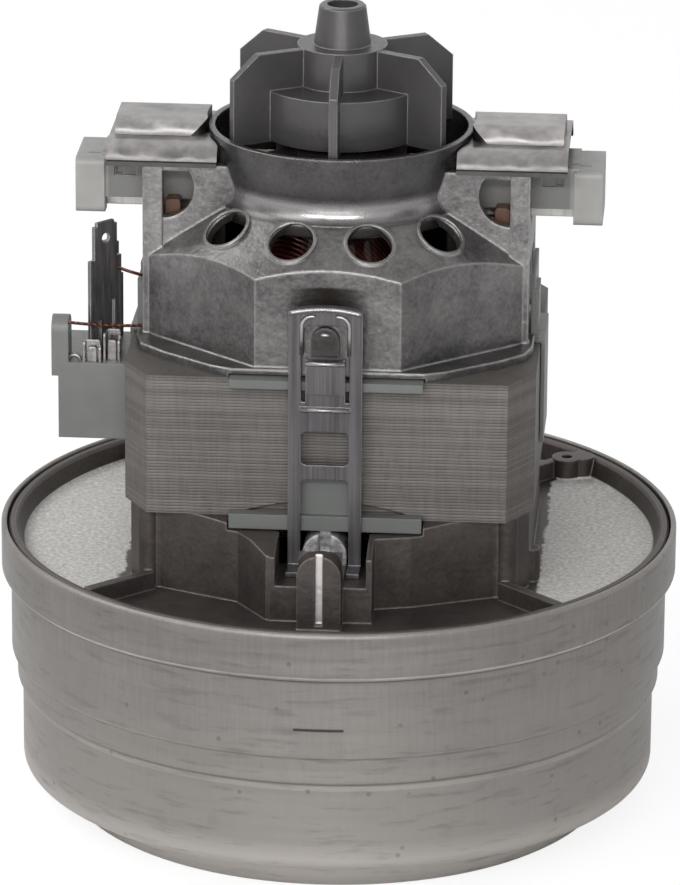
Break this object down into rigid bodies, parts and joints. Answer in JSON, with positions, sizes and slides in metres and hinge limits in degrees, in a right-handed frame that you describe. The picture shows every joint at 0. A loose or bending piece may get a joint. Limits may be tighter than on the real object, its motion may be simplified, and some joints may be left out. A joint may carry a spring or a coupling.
{
  "type": "vacuum cleaner motor",
  "caption": "By-pass vacuum cleaner motor with a stepped fan shell, laminated stator, strapped brackets, brush gear and a bladed cooling fan on its top.",
  "frame": {"origin": "centre of the fan shell's flat base, on the rotor axis", "axes": "+Z along the rotor axis towards the cooling fan, +X from the terminal side to the far brush, -Y towards the camera of the picture"},
  "size_m": [0.144, 0.144, 0.1743],
  "materials": {
    "shell_steel": "matte pressed steel sheet",
    "wheel_aluminium": "rolled aluminium sheet",
    "cast_dark": "die cast, dark as cast skin",
    "cast_bright": "die cast, satin",
    "bearing_steel": "ground bearing steel",
    "turned_steel": "turned steel",
    "laminations": "stacked steel laminations",
    "copper_winding": "enamelled copper wire",
    "commutator_copper": "copper bars in resin",
    "fibre": "insulating sleeve",
    "bobbin_plastic": "grey green moulding",
    "white_plastic": "off white moulding",
    "holder_plastic": "grey white moulding",
    "tube_metal": "drawn metal tube",
    "carbon": "pressed carbon",
    "brown_plastic": "brown moulding",
    "tinned_plate": "pressed tinned plate",
    "strap_steel": "spring steel strip",
    "tab_metal": "tinned brass, tarnished",
    "fan_plastic": "dark grey moulding"
  },
  "bodies": {
    "motor_frame": {"fan_shell": "shell_steel", "return_diffuser": "wheel_aluminium", "stage_divider": "wheel_aluminium", "fan_end_bracket": "cast_dark", "lower_bearing_outer_ring": "bearing_steel", "stator_core": "laminations", "lower_bobbins": "bobbin_plastic", "upper_bobbins": "bobbin_plastic", "field_coil_front": "copper_winding", "field_coil_rear": "copper_winding", "side_insulators": "white_plastic", "commutator_end_bracket": "cast_bright", "fan_bowl": "cast_bright", "bearing_spider": "cast_bright", "upper_bearing_outer_ring": "bearing_steel", "brush_terminals": "brown_plastic", "brush_holder_left": "holder_plastic", "brush_holder_right": "holder_plastic", "brush_tube_left": "tube_metal", "brush_tube_right": "tube_metal", "brush_spring_left": "turned_steel", "brush_spring_right": "turned_steel", "brush_clamp_left": "tinned_plate", "brush_clamp_right": "tinned_plate", "strap_front": "strap_steel", "strap_rear": "strap_steel", "terminal_block": "white_plastic", "terminal_tabs": "tab_metal", "coil_leads": "copper_winding"},
    "rotor": {"rotor_shaft": "turned_steel", "armature_core": "laminations", "armature_winding": "copper_winding", "commutator": "commutator_copper", "commutator_spacer": "fibre", "armature_spacer": "fibre", "lower_bearing_inner_ring": "bearing_steel", "upper_bearing_inner_ring": "bearing_steel", "bearing_spacer": "turned_steel", "wheel_spacer": "turned_steel", "wheel_washers": "turned_steel", "wheel_nut": "turned_steel", "inlet_wheel": "wheel_aluminium", "outlet_wheel": "wheel_aluminium", "cooling_fan": "fan_plastic"},
    "lower_cage": {"lower_bearing_balls": "bearing_steel"},
    "upper_cage": {"upper_bearing_balls": "bearing_steel"},
    "brush_left": {"carbon_brush_left": "carbon"},
    "brush_right": {"carbon_brush_right": "carbon"}
  },
  "joints": [
    {"name": "rotor_spin", "type": "hinge", "parent": "motor_frame", "child": "rotor", "pos_m": [0, 0, 0.102], "axis": [0, 0, 1], "continuous": true},
    {"name": "lower_cage_spin", "type": "hinge", "parent": "motor_frame", "child": "lower_cage", "pos_m": [0, 0, 0.06], "axis": [0, 0, 1], "continuous": true},
    {"name": "upper_cage_spin", "type": "hinge", "parent": "motor_frame", "child": "upper_cage", "pos_m": [0, 0, 0.1494], "axis": [0, 0, 1], "continuous": true},
    {"name": "brush_left_slide", "type": "slide", "parent": "motor_frame", "child": "brush_left", "axis": [-1, 0, 0], "range_m": [0, 0.01], "stiffness_N_per_m": 250, "springref_m": -0.016, "deforming": ["brush_spring_left"]},
    {"name": "brush_right_slide", "type": "slide", "parent": "motor_frame", "child": "brush_right", "axis": [1, 0, 0], "range_m": [0, 0.01], "stiffness_N_per_m": 250, "springref_m": -0.016, "deforming": ["brush_spring_right"]}
  ],
  "couplings": [
    {"joint": "lower_cage_spin", "follows": "rotor_spin", "ratio": 0.36667},
    {"joint": "upper_cage_spin", "follows": "rotor_spin", "ratio": 0.36}
  ]
}
